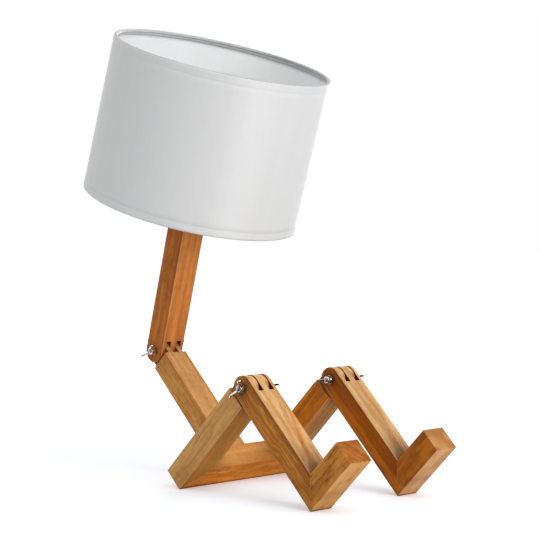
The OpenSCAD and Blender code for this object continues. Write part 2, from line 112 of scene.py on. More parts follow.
def make_camera():
    data = bpy.data.cameras.new("camera")
    data.sensor_width = SENSOR
    data.lens = FOCAL_PX * SENSOR / PHOTO_PX
    data.shift_x = (PHOTO_PX / 2 - CENTRE_PX[0]) / PHOTO_PX
    data.shift_y = (CENTRE_PX[1] - PHOTO_PX / 2) / PHOTO_PX
    data.clip_end = 20
    back = direction(CAMERA_AZIMUTH, CAMERA_ELEVATION)
    level = Vector((math.cos(CAMERA_AZIMUTH), math.sin(CAMERA_AZIMUTH), 0))
    right = Matrix.Rotation(CAMERA_ROLL, 3, back) @ level
    up = back.cross(right)
    axes = Matrix((right, up, back)).transposed().to_4x4()
    camera = add_object("camera", data)
    camera.matrix_world = Matrix.Translation(CAMERA_PLACE) @ axes
    bpy.context.scene.camera = camera


AIM = Vector((0, 0, 0.22))
# Where each area light stands as seen from AIM, its own width and height, and its power
LIGHTS = {
    "key": dict(azimuth_deg=2, elevation_deg=4, distance=2.2, width=1.2, height=1.4, watts=26),
    "top": dict(azimuth_deg=-5, elevation_deg=52, distance=2.0, width=1.2, height=1.2, watts=7),
    "back": dict(azimuth_deg=122, elevation_deg=14, distance=2.2, width=1.2, height=1.2, watts=14),
}


def area_light(name, azimuth_deg, elevation_deg, distance, width, height, watts):
    data = bpy.data.lights.new(name, "AREA")
    data.shape = "RECTANGLE"
    data.size, data.size_y = width, height
    data.energy = watts
    away = direction(math.radians(azimuth_deg), math.radians(elevation_deg))
    lamp = add_object(name, data)
    lamp.rotation_mode = "QUATERNION"
    lamp.rotation_quaternion = away.to_track_quat("Z", "Y")
    lamp.location = AIM + away * distance


def make_lights():
    for name, light in LIGHTS.items():
        area_light(name, **light)


# ------------------------------------------------------------------ node helpers

class Nodes:
    """A node tree under construction, with one short call for each node."""

    def __init__(self, tree):
        self.tree = tree
        self.tree.nodes.clear()

    def link(self, source, target):
        self.tree.links.new(source, target)

    def feed(self, socket, value):
        """Sets a socket from a number, a colour or another node's output."""
        if isinstance(value, bpy.types.NodeSocket):
            self.link(value, socket)
        else:
            socket.default_value = value

    def node(self, kind, inputs=(), **settings):
        made = self.tree.nodes.new("ShaderNode" + kind)
        for key, value in settings.items():
            setattr(made, key, value)
        for key, value in dict(inputs).items():
            self.feed(made.inputs[key], value)
        return made

    def math(self, operation, a, b=0.0, clamp=False):
        made = self.node("Math", {0: a, 1: b}, operation=operation, use_clamp=clamp)
        return made.outputs[0]

    def ramp(self, value, low, high, to_low=0.0, to_high=1.0):
        """Smooth step of a value from low to high."""
        made = self.node("MapRange", {"Value": value, "From Min": low, "From Max": high,
                                      "To Min": to_low, "To Max": to_high},
                         interpolation_type="SMOOTHSTEP")
        return made.outputs[0]

    def mix(self, share, a, b, blend="MIX"):
        """Mix of two colours."""
        made = self.node("Mix", data_type="RGBA", blend_type=blend)
        self.feed(made.inputs[0], share)
        self.feed(made.inputs[6], a)
        self.feed(made.inputs[7], b)
        return made.outputs[2]

    def stretched(self, coords, scale):
        """Coordinates with a scale of their own along each axis."""
        return self.node("Mapping", {"Vector": coords, "Scale": scale}).outputs[0]

    def noise(self, coords, scale, detail=2.0, rough=0.5):
        return self.node("TexNoise", {"Vector": self.stretched(coords, scale), "Scale": 1.0,
                                      "Detail": detail, "Roughness": rough})

    def bump(self, height, distance, strength, normal=None):
        inputs = {"Height": height, "Distance": distance, "Strength": strength}
        if normal is not None:
            inputs["Normal"] = normal
        return self.node("Bump", inputs).outputs[0]


class Shader(Nodes):
    """A material under construction, with its main shader and its output."""

    def __init__(self, name):
        self.material = bpy.data.materials.new(name)
        self.material.use_nodes = True
        super().__init__(self.material.node_tree)
        self.output = self.tree.nodes.new("ShaderNodeOutputMaterial")
        self.bsdf = self.tree.nodes.new("ShaderNodeBsdfPrincipled")
        self.link(self.bsdf.outputs[0], self.output.inputs["Surface"])

    def set(self, **inputs):
        """Sets the main shader's sockets, named with underscores."""
        for key, value in inputs.items():
            self.feed(self.bsdf.inputs[key.replace("_", " ")], value)


def rgb(red, green, blue):
    """A colour given as it looks on screen, 0 to 255, for a shader's socket."""
    def linear(value):
        share = value / 255
        return share / 12.92 if share <= 0.04045 else ((share + 0.055) / 1.055) ** 2.4
    return (linear(red), linear(green), linear(blue), 1.0)


def shade_of(colour, factor):
    return tuple(min(1.0, c * factor) for c in colour[:3]) + (1.0,)


AO_SAMPLES = 6


def object_coords(s):
    return s.node("TexCoord").outputs["Object"]


def openness(s, reach):
    """1 where nothing lies within reach, less in a corner, a gap or a recess."""
    return s.node("AmbientOcclusion", {"Distance": reach}, samples=AO_SAMPLES).outputs["AO"]


def stained(s, colour, stain, mask, strength):
    """A colour mixed towards a stain where the mask is, by the given strength."""
    return s.mix(s.math("MULTIPLY", mask, strength), colour, stain)


def tinted(s, colour, tint, share):
    """A colour multiplied by a tint, by the given share."""
    return s.mix(share, colour, s.mix(1.0, colour, tint, "MULTIPLY"))


def dress(node, material):
    """Gives a CAD node a finish of its own."""
    mesh = frame["nodes"][node].data
    mesh.materials.clear()
    mesh.materials.append(material)


# ------------------------------------------------------------------------ timber

PALE_GRAIN = (1.20, 1.26, 1.36, 1.0)
DEEP_GRAIN = (0.78, 0.68, 0.54, 1.0)
BURNT_EDGE = rgb(96, 44, 10)
# Pale arrises: partly wear, partly a painted highlight.
PALE_ARRIS_WEAR_AND_HIGHLIGHT = rgb(236, 186, 126)
# Painted shade: corners between bars are multiplied towards this tint.
CORNER_SHADE_TINT = (0.16, 0.06, 0.05, 1.0)
# Painted shade in narrow gaps and on the walls of sawn slots.
CREVICE_SHADE = rgb(116, 16, 6)
TICK = rgb(112, 64, 22)
GOLDEN = (0.90, 0.62, 0.32, 1.0)
ROSY = (0.94, 0.78, 0.66, 1.0)
# How much of a face's normal lies along an axis where the face starts to count as turned
# that way, and where it counts in full
TURNED = (0.6, 0.8)
# How far under the bar's side a sawn slot's walls start to show, and show fully
SLOT_START, SLOT_FULL = 1.2 * MM, 1.6 * MM
# Stain beside the front arris: how far from it the stain starts, and is full
STAIN_START, STAIN_FULL = 6 * MM, 1 * MM
# How far from the arris it starts to be pale, and is pale in full, on the front and the side: wear and a painted
# highlight
PALE_ARRIS_FRONT = (1.0 * MM, 0.2 * MM)
PALE_ARRIS_SIDE = (1.0 * MM, 0.3 * MM)
# Width of the flame's sharp edge, and the length over which it ends along the bar
FLAME_RISE, FLAME_RUN_OUT = 0.9 * MM, 20 * MM
# How far from its middle the glue line is still full, and where it ends
GLUE_LINE = (0.2 * MM, 0.9 * MM)
# Heights between which the painted shade of corners sets in: none at the floor, which is bright
CLEAR_OF_FLOOR = (8 * MM, 32 * MM)
GAP_REACH = 3 * MM
ARRIS_R = 0.8 * MM
RIPPLE_DEPTH, FIBRE_DEPTH = 0.16, 0.14
LATE_ON_FRONT = 0.25
PORE_SHARE, TICK_SHARE, PALE_ARRIS_SHARE, GLUE_SHARE, SLOT_SHADE_SHARE = 0.2, 0.75, 0.45, 0.6, 0.5


def bar_frame(place, angle, sideways=False):
    """Frame of a bar: its +Z runs along the bar, turned by an angle about X."""
    turn = Matrix.Rotation(angle, 3, "X")
    if sideways:
        turn = turn @ Matrix.Rotation(math.pi / 2, 3, "Y")
    return place, turn.to_euler("XYZ")


def in_bar(s, source, place, turn):
    """A vector of the object's own space, taken into the bar's frame."""
    return s.node("Mapping", {"Vector": source, "Location": place, "Rotation": turn},
                  vector_type="TEXTURE").outputs[0]


def flat_normal(s, turn):
    """The face's own normal in the bar's frame, free of smooth shading."""
    true_normal = s.node("NewGeometry").outputs["True Normal"]
    turned_back = s.node("VectorTransform", {0: true_normal}, vector_type="NORMAL",
                         convert_from="WORLD", convert_to="OBJECT").outputs[0]
    return s.node("SeparateXYZ", {0: in_bar(s, turned_back, (0, 0, 0), turn)})


def face_masks(s, local, turn):
    """Where a point lies: on a side, on the back, on an end, or inside a sawn slot."""
    axes = flat_normal(s, turn)
    sideways = s.ramp(s.math("ABSOLUTE", axes.outputs[0]), *TURNED)
    backward = s.ramp(axes.outputs[1], *TURNED)
    endways = s.ramp(s.math("ABSOLUTE", axes.outputs[2]), *TURNED)
    across = s.math("ABSOLUTE", s.node("SeparateXYZ", {0: local}).outputs[0])
    within = s.ramp(across, BAR_W / 2 - SLOT_FULL, BAR_W / 2 - SLOT_START, 1.0, 0.0)
    return sideways, backward, endways, s.math("MULTIPLY", within, sideways)


def swayed(s, coords, scale, amount):
    """Coordinates pushed about by a slow, smooth noise."""
    push = s.noise(coords, scale, detail=2.0).outputs["Color"]
    push = s.node("VectorMath", {0: push, 1: (0.5, 0.5, 0.5)}, operation="SUBTRACT").outputs[0]
    push = s.node("VectorMath", {0: push, "Scale": amount}, operation="SCALE").outputs[0]
    return s.node("VectorMath", {0: coords, 1: push}, operation="ADD").outputs[0]


def growth(s, local, look):
    """Growth rings of the board: broad bands and thin, patchy late-wood lines."""
    lying = s.node("Mapping", {"Vector": local, "Location": look["pith"] + (0,),
                               "Rotation": look["lie"] + (0,)}).outputs[0]
    bent = swayed(s, lying, (22, 22, look["sway_pitch"]), look["sway"])
    flat = s.node("VectorMath", {0: bent, 1: (1, 1, 0)}, operation="MULTIPLY").outputs[0]
    radius = s.node("VectorMath", {0: flat}, operation="LENGTH").outputs["Value"]
    count = s.math("MULTIPLY", radius, look["rings"])
    uneven = s.node("TexNoise", {"W": count, "Scale": 0.55, "Detail": 1.0},
                    noise_dimensions="1D").outputs["Fac"]
    bands = s.ramp(uneven, 0.32, 0.68, -0.5, 0.5)
    step = s.math("FRACT", s.math("ADD", count, s.math("MULTIPLY", uneven, 2.0)))
    late = s.math("MULTIPLY", s.ramp(step, 0.45, 0.95), s.ramp(step, 1.0, 0.95))
    patch = s.noise(local, (90, 90, 45), detail=2.0).outputs["Fac"]
    return bands, s.math("MULTIPLY", late, s.ramp(patch, 0.42, 0.62))


def flame(s, local, look):
    """Heartwood colour that starts sharply along a slanting line across the board,
    fades away from it, and ends some way down the bar."""
    soft = s.node("SeparateXYZ", {0: swayed(s, local, (35, 35, 14), look["flame_sway"])})
    start, slope, fade, end = look["flame"]
    depth = s.math("ADD", s.math("SUBTRACT", soft.outputs[0], start),
                   s.math("MULTIPLY", soft.outputs[2], -slope))
    lit = s.math("MULTIPLY", s.ramp(depth, 0.0, FLAME_RISE), s.ramp(depth, fade, 0.0))
    return s.math("MULTIPLY", lit, s.ramp(soft.outputs[2], end - FLAME_RUN_OUT, end))


def face_tone(s, look, sideways, backward, endways):
    """Base colour by the face that is seen, which holds painted light and shade as well as each face's own tone.
    """
    tone = s.mix(backward, look["front"], look["side"])
    tone = s.mix(sideways, tone, look["side"])
    return s.mix(endways, tone, look["end"])


def edge_wear_and_highlight(s, local, sideways, colour, strength):
    """Stain gathers on the sides beside the front arris; the arris is pale, partly from wear and partly a painted
    highlight.
    """
    place = s.node("SeparateXYZ", {0: local})
    across = s.math("ABSOLUTE", place.outputs[0])
    front = s.math("MULTIPLY", place.outputs[1], -1.0)
    beside = s.ramp(front, BAR_T / 2 - STAIN_START, BAR_T / 2 - STAIN_FULL)
    colour = stained(s, colour, BURNT_EDGE, s.math("MULTIPLY", beside, sideways), strength)
    at_front = s.ramp(front, *(BAR_T / 2 - reach for reach in PALE_ARRIS_FRONT))
    at_side = s.ramp(across, *(BAR_W / 2 - reach for reach in PALE_ARRIS_SIDE))
    return stained(s, colour, PALE_ARRIS_WEAR_AND_HIGHLIGHT, s.math("MULTIPLY", at_front, at_side), PALE_ARRIS_SHARE)


def glue_line(s, local, length):
    """Thin dark line along the mitre at the heel, at a distance from the knee pin."""
    place = s.node("SeparateXYZ", {0: local})
    beyond = s.math("ADD", s.math("ADD", place.outputs[2], place.outputs[1]), length)
    return s.ramp(s.math("ABSOLUTE", beyond), *GLUE_LINE, 1.0, 0.0)


def wood_patterns(s, local, look):
    """Patterns that follow the grain, each from 0 to 1."""
    strand = swayed(s, local, (30, 30, 6), 3 * MM)
    short = s.noise(strand, (560, 560, 105), detail=1.0).outputs["Fac"]
    group = s.noise(strand, (95, 95, 50), detail=0.0).outputs["Fac"]
    pore = s.noise(strand, (1000, 1000, 150), detail=0.0).outputs["Fac"]
    return {
        "fibre": s.noise(strand, (900, 900, 30), detail=2.0, rough=0.6).outputs["Fac"],
        "streak": s.noise(strand, (210, 210, 13), detail=3.0, rough=0.6).outputs["Fac"],
        "cloud": s.noise(strand, (75, 75, 26), detail=2.0, rough=0.6).outputs["Fac"],
        "ripple": s.noise(strand, (120, 120, 190), detail=1.0).outputs["Fac"],
        "pores": s.ramp(pore, 0.66, 0.76),
        "ticks": s.math("MULTIPLY", s.ramp(short, look["ticks"], look["ticks"] + 0.05),
                        s.ramp(group, 0.42, 0.56)),
    }


def grain_strength(s, bands, late, patterns, sideways, endways, look):
    """How deep the grain's colour is: 0 pale, 0.5 the face's own tone, 1 deep."""
    grain = s.math("MULTIPLY", bands, look["band_depth"])
    for name, depth in (("streak", look["streak_depth"]), ("cloud", look["cloud_depth"]),
                        ("ripple", RIPPLE_DEPTH), ("fibre", FIBRE_DEPTH)):
        grain = s.math("ADD", grain, s.ramp(patterns[name], 0.3, 0.7, -depth / 2, depth / 2))
    cut = s.math("MAXIMUM", sideways, endways)
    late = s.math("MULTIPLY", late, s.ramp(cut, 0.0, 1.0, LATE_ON_FRONT, 1.0))
    grain = s.math("ADD", grain, s.math("MULTIPLY", late, look["late_depth"]))
    for facing, contrast in ((sideways, look["side_contrast"]), (endways, look["end_contrast"])):
        grain = s.math("MULTIPLY", grain, s.ramp(facing, 0.0, 1.0, 1.0, contrast))
    return s.math("ADD", grain, 0.5, clamp=True)


def with_marks(s, local, colour, patterns, sideways, look):
    """Lays the flame, pores, ticks, edge wear with a painted highlight on the arris, and the mitre's glue line
    over the grain.
    """
    if look["flame"]:
        lit = s.math("MULTIPLY", flame(s, local, look), look["flame_depth"])
        colour = tinted(s, colour, look["flame_tint"], lit)
    colour = stained(s, colour, BURNT_EDGE, patterns["pores"], PORE_SHARE)
    ticks = s.math("MULTIPLY", patterns["ticks"], sideways)
    colour = stained(s, colour, TICK, ticks, TICK_SHARE)
    colour = edge_wear_and_highlight(s, local, sideways, colour, look["edge_depth"])
    if look["mitre"]:
        colour = stained(s, colour, BURNT_EDGE, glue_line(s, local, look["mitre"]), GLUE_SHARE)
    return colour


def with_painted_shade(s, colour, cavity, sawn, look):
    """Painted shade: darkens corners between bars, narrow gaps and the walls of sawn slots."""
    # Painted shade in corners between bars, fading out near the floor.
    corner = openness(s, look["corner_shade_reach"])
    height = s.node("SeparateXYZ", {0: object_coords(s)}).outputs[2]
    corner_shade = s.math("MULTIPLY", s.ramp(corner, 0.66, 0.95, look["corner_shade_depth"], 0.0),
                   s.ramp(height, *CLEAR_OF_FLOOR))
    colour = tinted(s, colour, CORNER_SHADE_TINT, corner_shade)
    # Painted shade in narrow gaps, then on the walls of sawn slots.
    colour = s.mix(s.ramp(cavity, 0.2, 0.55, 0.95, 0.0), colour, CREVICE_SHADE)
    return stained(s, colour, CREVICE_SHADE, sawn, SLOT_SHADE_SHARE) if look["slots"] else colour


def timber_shader(name, place, turn, look):
    """Planed, oiled timber whose grain runs along the bar's own +Z."""
    s = Shader(name)
    local = in_bar(s, object_coords(s), place, turn)
    bands, late = growth(s, local, look)
    sideways, backward, endways, sawn = face_masks(s, local, turn)
    tone = face_tone(s, look, sideways, backward, endways)
    patterns = wood_patterns(s, local, look)
    grain = grain_strength(s, bands, late, patterns, sideways, endways, look)
    colour = s.mix(1.0, tone, s.mix(grain, PALE_GRAIN, DEEP_GRAIN), "MULTIPLY")
    colour = with_marks(s, local, colour, patterns, sideways, look)
    cavity = openness(s, GAP_REACH)
    colour = with_painted_shade(s, colour, cavity, sawn, look)

    # Painted highlight: the rounded arrises are painted pale, partly as wear.
    rounded = s.node("Bevel", {"Radius": ARRIS_R}, samples=4).outputs[0]
    true_normal = s.node("NewGeometry").outputs["True Normal"]
    facing = s.node("VectorMath", {0: rounded, 1: true_normal},
                    operation="DOT_PRODUCT").outputs["Value"]
    arris = s.math("MULTIPLY", s.ramp(facing, 0.98, 0.86), s.ramp(cavity, 0.75, 0.95))
    colour = stained(s, colour, PALE_ARRIS_WEAR_AND_HIGHLIGHT, arris, look["arris"])

    relief = s.math("SUBTRACT", s.math("MULTIPLY", patterns["fibre"], 0.5),
                    s.math("MULTIPLY", patterns["pores"], 0.8))
    s.set(Base_Color=colour, Roughness=s.ramp(patterns["streak"], 0.3, 0.7, 0.42, 0.56),
          Normal=s.bump(relief, 0.05 * MM, 0.5, rounded),
          Specular_IOR_Level=s.ramp(cavity, 0.2, 0.7, 0.0, 0.16))
    return s.material


# How a board was cut and finished, and the light and shade painted on its faces, corners and arrises.
# pith, lie: where its pith lies beside the bar and how far it leans; rings: growth rings
# in a metre; sway, sway_pitch: how far they wander and how often along the bar.
# The depths: contrast of growth bands, streaks, clouds and late-wood lines, stain beside
# the front arris, and painted shade in corners within corner_shade_reach.
# flame: its start across the bar at the pin, its slant, its fade across and the place
# along the bar where it ends; flame_sway, flame_depth, flame_tint: how far its edge
# wanders, how strong it is and the colour that it multiplies the wood by.
# ticks: a higher threshold leaves fewer of them. arris: how pale the rounded edges are, from wear and a painted
# highlight.
# mitre: the distance from the knee pin to the heel, where a glue line crosses the bar.
# slots: whether the bar has sawn slots, whose walls get painted shade. The contrasts: of the grain on sides and
# ends.
LOOK = {"pith": (0.06, 0.03), "lie": (0.02, -0.015), "sway": 9 * MM, "rings": 170,
        "band_depth": 0.3, "streak_depth": 0.22, "cloud_depth": 0.34, "late_depth": 0.1,
        "flame": None, "flame_sway": 6 * MM, "flame_depth": 0.9, "flame_tint": GOLDEN,
        "edge_depth": 0.3, "ticks": 0.80, "mitre": None, "arris": 0.35, "slots": True,
        "corner_shade_depth": 0.35, "corner_shade_reach": 22 * MM, "sway_pitch": 9,
        "side_contrast": 1.7, "end_contrast": 1.0}

# front, side, end: base colour of each face. Besides each sawn face's own tone, they hold painted light and shade:
# a face is lighter or darker for how the light falls on it and for the bars that hide it.
TIMBER = {
    "crossbar": dict(front=rgb(200, 137, 69), side=rgb(233, 149, 49), end=rgb(206, 128, 58),
                     pith=(0.045, 0.06), ticks=0.76, late_depth=0.4, edge_depth=0.1, slots=False,
                     sway=20 * MM, sway_pitch=20, band_depth=0.4),
    "left_thigh": dict(front=rgb(193, 130, 56), side=rgb(207, 155, 89), end=rgb(232, 178, 118),
                       pith=(0.07, -0.02), band_depth=0.3, edge_depth=0.0, ticks=0.785,
                       streak_depth=0.4, late_depth=0.4, rings=260, cloud_depth=0.2,
                       side_contrast=1.4),
    "right_thigh": dict(front=rgb(193, 131, 65), side=rgb(196, 114, 20), end=rgb(224, 170, 112),
                        pith=(0.03, 0.05), band_depth=0.5, rings=240, edge_depth=0.1,
                        streak_depth=0.3),
    "torso": dict(front=rgb(210, 152, 90), side=rgb(207, 144, 70), end=rgb(222, 158, 92),
                  pith=(0.03, 0.05), flame=(9 * MM, 0.0, 14 * MM, -1.0), band_depth=0.3,
                  streak_depth=0.35, late_depth=0.4, edge_depth=0.15),
    "left_shin": dict(front=rgb(213, 166, 108), side=rgb(194, 123, 44), end=rgb(222, 166, 104),
                      pith=(0.03, 0.06), flame=(21.0 * MM, 0.30, 12 * MM, -85 * MM),
                      sway=34 * MM, sway_pitch=17, band_depth=0.6, rings=230, late_depth=0.9,
                      edge_depth=0.55, streak_depth=0.4, flame_depth=1.0, corner_shade_depth=0.86,
                      corner_shade_reach=40 * MM, mitre=SHIN_LEN),
    "right_shin": dict(front=rgb(209, 165, 112), side=rgb(175, 96, 2), end=rgb(206, 146, 86),
                       pith=(0.03, 0.05), sway=18 * MM, flame=(4 * MM, 0.005, 16 * MM, -1.0),
                       flame_sway=3 * MM, flame_tint=ROSY, band_depth=1.0, edge_depth=0.45,
                       late_depth=0.9, streak_depth=0.5, corner_shade_depth=0.8,
                       corner_shade_reach=40 * MM, mitre=SHIN_LEN),
    "left_foot": dict(front=rgb(217, 161, 97), side=rgb(194, 126, 49), end=rgb(169, 100, 29),
                      pith=(0.05, 0.04), rings=300, ticks=0.585, band_depth=0.35, late_depth=0.7,
                      sway=26 * MM, sway_pitch=20, edge_depth=0.1, slots=False, corner_shade_depth=0.9,
                      end_contrast=2.4),
    "right_foot": dict(front=rgb(212, 158, 108), side=rgb(175, 102, 22), end=rgb(187, 128, 72),
                       pith=(0.04, 0.05), band_depth=0.4, cloud_depth=0.6, edge_depth=0.1,
                       late_depth=0.6, slots=False, corner_shade_depth=0.9, sway=20 * MM,
                       sway_pitch=16),
    "post": dict(front=rgb(204, 126, 57), side=rgb(183, 105, 33), end=rgb(190, 118, 56),
                 pith=(0.09, 0.01), band_depth=0.3, streak_depth=0.5, late_depth=0.4,
                 edge_depth=0.2),
}


def dress_timber():
    along_seat = -BASE_TILT
    frames = {
        "crossbar": bar_frame(middle("crossbar"), along_seat, sideways=True),
        "left_thigh": bar_frame(PIN["left_knee"], along_seat + math.pi / 2),
        "right_thigh": bar_frame(PIN["right_knee"], along_seat + math.pi / 2),
        "torso": bar_frame(PIN["waist"], along_seat),
        "left_shin": bar_frame(PIN["left_knee"], along_seat),
        "right_shin": bar_frame(PIN["right_knee"], along_seat),
        "left_foot": bar_frame(middle("left_foot"), along_seat + math.pi / 2),
        "right_foot": bar_frame(middle("right_foot"), along_seat + math.pi / 2),
        "post": bar_frame(PIN["waist"], POST_LEAN),
    }
    for node, own in TIMBER.items():
        place, turn = frames[node]
        dress(node, timber_shader("timber_" + node, place, turn, {**LOOK, **own}))


# ------------------------------------------------------------------ other finishes

ORANGE_PEEL = 0.02 * MM


def metal(name, colour, rough, grain, recess_shade=0.5):
    """Plated or bare metal with fine scratches, smudges and painted shade in its recesses."""
    s = Shader(name)
    coords = object_coords(s)
    smudge = s.noise(coords, (160,) * 3, detail=3.0).outputs["Fac"]
    scratch = s.noise(coords, (2600, 500, 900), detail=2.0).outputs["Fac"]
    # Painted shade: recesses are darkened towards near black.
    painted_recess = s.ramp(openness(s, 2.5 * MM), 0.2, 0.72, recess_shade, 0.0)
    s.set(Base_Color=s.mix(painted_recess, colour, shade_of(colour, 0.08)), Metallic=1.0,
          Roughness=s.ramp(smudge, 0.35, 0.7, rough, rough + 0.12),
          Normal=s.bump(scratch, grain * MM, 0.4))
    return s.material


def moulded(name, colour, rough, mottle=0.07):
    """Moulded plastic with a little unevenness in colour and gloss."""
    s = Shader(name)
    coords = object_coords(s)
    cloud = s.noise(coords, (90,) * 3, detail=2.0).outputs["Fac"]
    pebble = s.noise(coords, (1400,) * 3, detail=1.0).outputs["Fac"]
    s.set(Base_Color=s.mix(cloud, shade_of(colour, 1 - mottle), shade_of(colour, 1 + mottle)),
          Roughness=s.ramp(cloud, 0.3, 0.7, rough - 0.04, rough + 0.06),
          Normal=s.bump(pebble, ORANGE_PEEL, 0.5))
    return s.material


def dowel_shader():
    """Bare beech with short dark rays."""
    s = Shader("beech")
    coords = object_coords(s)
    ray = s.ramp(s.noise(coords, (700, 700, 220), detail=1.0).outputs["Fac"], 0.55, 0.7)
    tone = s.noise(coords, (120,) * 3).outputs["Fac"]
    base = s.mix(tone, rgb(222, 188, 140), rgb(205, 165, 116))
    s.set(Base_Color=stained(s, base, rgb(150, 104, 62), ray, 0.5), Roughness=0.62,
          Normal=s.bump(ray, 0.04 * MM, 0.5))
    return s.material


CLOTH_WHITE = rgb(251, 245, 236)
CLOTH_THREAD, TAPE_THREAD = 0.4 * MM, 0.5 * MM
# Painted light: the inside of the drum is painted lighter and cooler than the cloth's outside.
LINER_PAINTED_LIGHT = (1.09, 1.11, 1.14, 1.0)
# Painted shade on the top of the hems' bead, and painted shadow lines at their top and inner edges.
HEM_PAINTED_SHADE = rgb(192, 193, 194)
HEM_SHADOW_LINE = rgb(146, 144, 142)
HEM_SHADE_SHARE, HEM_SHADOW_LINE_SHARE = 0.4, 0.75
# Along a hem tape's profile, its top edge and its inner edge
HEM_RIM = (8.6 * MM, 13.2 * MM)
HEM_SHADOW_LINE_HALVES = (1.1 * MM, 0.8 * MM)


def stripe(s, value, place, half):
    """1 on a line of a coordinate, fading to nothing on both sides of it."""
    return s.ramp(s.math("ABSOLUTE", s.math("SUBTRACT", value, place)), 0.0, half, 1.0, 0.0)


def threads(s, uv, spacing, direction):
    """Wave whose crests lie one thread's spacing apart."""
    return s.node("TexWave", {"Vector": uv, "Scale": TURN / 20 / spacing, "Distortion": 0.6,
                              "Detail": 1.0, "Detail Scale": 3.0},
                  wave_type="BANDS", bands_direction=direction).outputs["Fac"]


def hem_painted_shade(s, along, colour, rim):
    """Painted shade: the tape is a little darker from its top edge on, with a painted shadow line at both edges.
    """
    colour = s.mix(s.ramp(along, rim[0], rim[0] + 1 * MM, 0.0, HEM_SHADE_SHARE), colour, HEM_PAINTED_SHADE)
    for place, half in zip(rim, HEM_SHADOW_LINE_HALVES):
        colour = stained(s, colour, HEM_SHADOW_LINE, stripe(s, along, place, half), HEM_SHADOW_LINE_SHARE)
    return colour


def cloth_shader(name, colour, thread, slub, satin, rim=None):
    """White satin cloth on a liner: upright threads, finer cross threads and slubs.

    UVs are in metres: u round the drum and v along its profile. Satin is the v at
    which the glossy outside ends and the matt inside starts; the inside is painted
    lighter. A rim gives the v of the hem's top and of its inner edge, where the tape
    has painted shade and painted shadow lines."""
    s = Shader(name)
    uv = s.node("UVMap").outputs[0]
    along = s.node("SeparateXYZ", {0: uv}).outputs[1]
    outside = s.ramp(along, satin - 0.5 * MM, satin + 0.5 * MM, 1.0, 0.0)
    warp = threads(s, uv, thread, "X")
    weft = threads(s, uv, 0.7 * thread, "Y")
    streak = s.noise(uv, (650, 9, 1), detail=3.0, rough=0.65).outputs["Fac"]
    band = s.noise(uv, (90, 3, 1), detail=2.0).outputs["Fac"]
    knots = s.ramp(s.noise(uv, (1500, 90, 1), detail=1.0).outputs["Fac"], 0.62, 0.78)
    tone = s.math("ADD", s.ramp(streak, 0.3, 0.7, -slub, slub),
                  s.ramp(band, 0.3, 0.7, -0.01, 0.01))
    tone = s.math("ADD", tone, s.math("MULTIPLY", knots, 0.012))
    bright = s.math("ADD", tone, 0.5, clamp=True)
    base = s.mix(bright, shade_of(colour, 0.5), shade_of(colour, 1.5))
    # Painted light: the liner is made lighter than the outside.
    base = s.mix(outside, s.mix(1.0, base, LINER_PAINTED_LIGHT, "MULTIPLY"), base)
    if rim:
        base = hem_painted_shade(s, along, base, rim)
    weave = s.math("ADD", s.math("MULTIPLY", warp, 0.6), s.math("MULTIPLY", weft, 0.4))
    weave = s.math("ADD", weave, s.math("MULTIPLY", streak, 1.2))
    round_drum = s.node("Tangent", direction_type="UV_MAP", uv_map="uv").outputs[0]
    s.set(Base_Color=base, Roughness=s.ramp(outside, 0.0, 1.0, 0.8, 0.56), IOR=1.6,
          Specular_IOR_Level=s.ramp(outside, 0.0, 1.0, 0.1, 1.0), Anisotropic=outside,
          Subsurface_Weight=s.ramp(outside, 0.0, 1.0, 1.0, 0.0), Subsurface_Radius=(1, 1, 1),
          Subsurface_Scale=2 * MM,
          Anisotropic_Rotation=0.25, Tangent=round_drum,
          Normal=s.bump(weave, 0.05 * MM, 0.25))
    return s.material


# ------------------------------------------------------------------- mesh helpers

def put(name, mesh_data, material, body, slot, *nodes, place):
    """Makes a piece from a mesh, in its place, ties it to a body and hides the CAD nodes that it stands for."""
    piece = add_object(name, mesh_data)
    piece.data.transform(place)
    piece.data.materials.append(material)
    for face in piece.data.polygons:
        face.use_smooth = True
    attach(piece, body)
    if nodes:
        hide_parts(*nodes)
    return piece


def finished(shape, name):
    """Mesh data made from a shape under construction, which it frees."""
    data = bpy.data.meshes.new(name)
    shape.to_mesh(data)
    shape.free()
    return data


def turned(name, profile, steps, waver=None):
    """Closed mesh turned about +Z from (radius, height) points. UVs are in metres
    along the circumference and the profile. waver(angle) shifts the radii."""
    shape = bmesh.new()
    uv_layer = shape.loops.layers.uv.new("uv")
    run = [0.0]
    for (r0, z0), (r1, z1) in zip(profile, profile[1:] + profile[:1]):
        run.append(run[-1] + math.hypot(r1 - r0, z1 - z0))
    rows = []
    for step in range(steps):
        angle = TURN * step / steps
        row = []
        for radius, height in profile:
            reach = radius + (waver(angle) if waver else 0.0)
            row.append(shape.verts.new((reach * math.cos(angle), reach * math.sin(angle), height)))
        rows.append(row)
    count = len(profile)
    mean_r = max(r for r, z in profile)
    for step in range(steps):
        here, there = rows[step], rows[(step + 1) % steps]
        for index in range(count):
            after = (index + 1) % count
            corners = [(here[index], 0, index), (there[index], 1, index),
                       (there[after], 1, index + 1), (here[after], 0, index + 1)]
            face = shape.faces.new([c[0] for c in corners])
            for loop, (vert, ahead, at) in zip(face.loops, corners):
                loop[uv_layer].uv = (mean_r * TURN * (step + ahead) / steps, run[at])
    bmesh.ops.remove_doubles(shape, verts=shape.verts, dist=1e-7)
    bmesh.ops.recalc_face_normals(shape, faces=shape.faces)
    return finished(shape, name)


def arc(centre, radius, start_deg, end_deg, steps):
    """Points of an arc in a profile, from one angle to another."""
    angles = [math.radians(start_deg + (end_deg - start_deg) * i / steps) for i in range(steps + 1)]
    return [(centre[0] + radius * math.cos(a), centre[1] + radius * math.sin(a)) for a in angles]


# -------------------------------------------------------------------------- shade

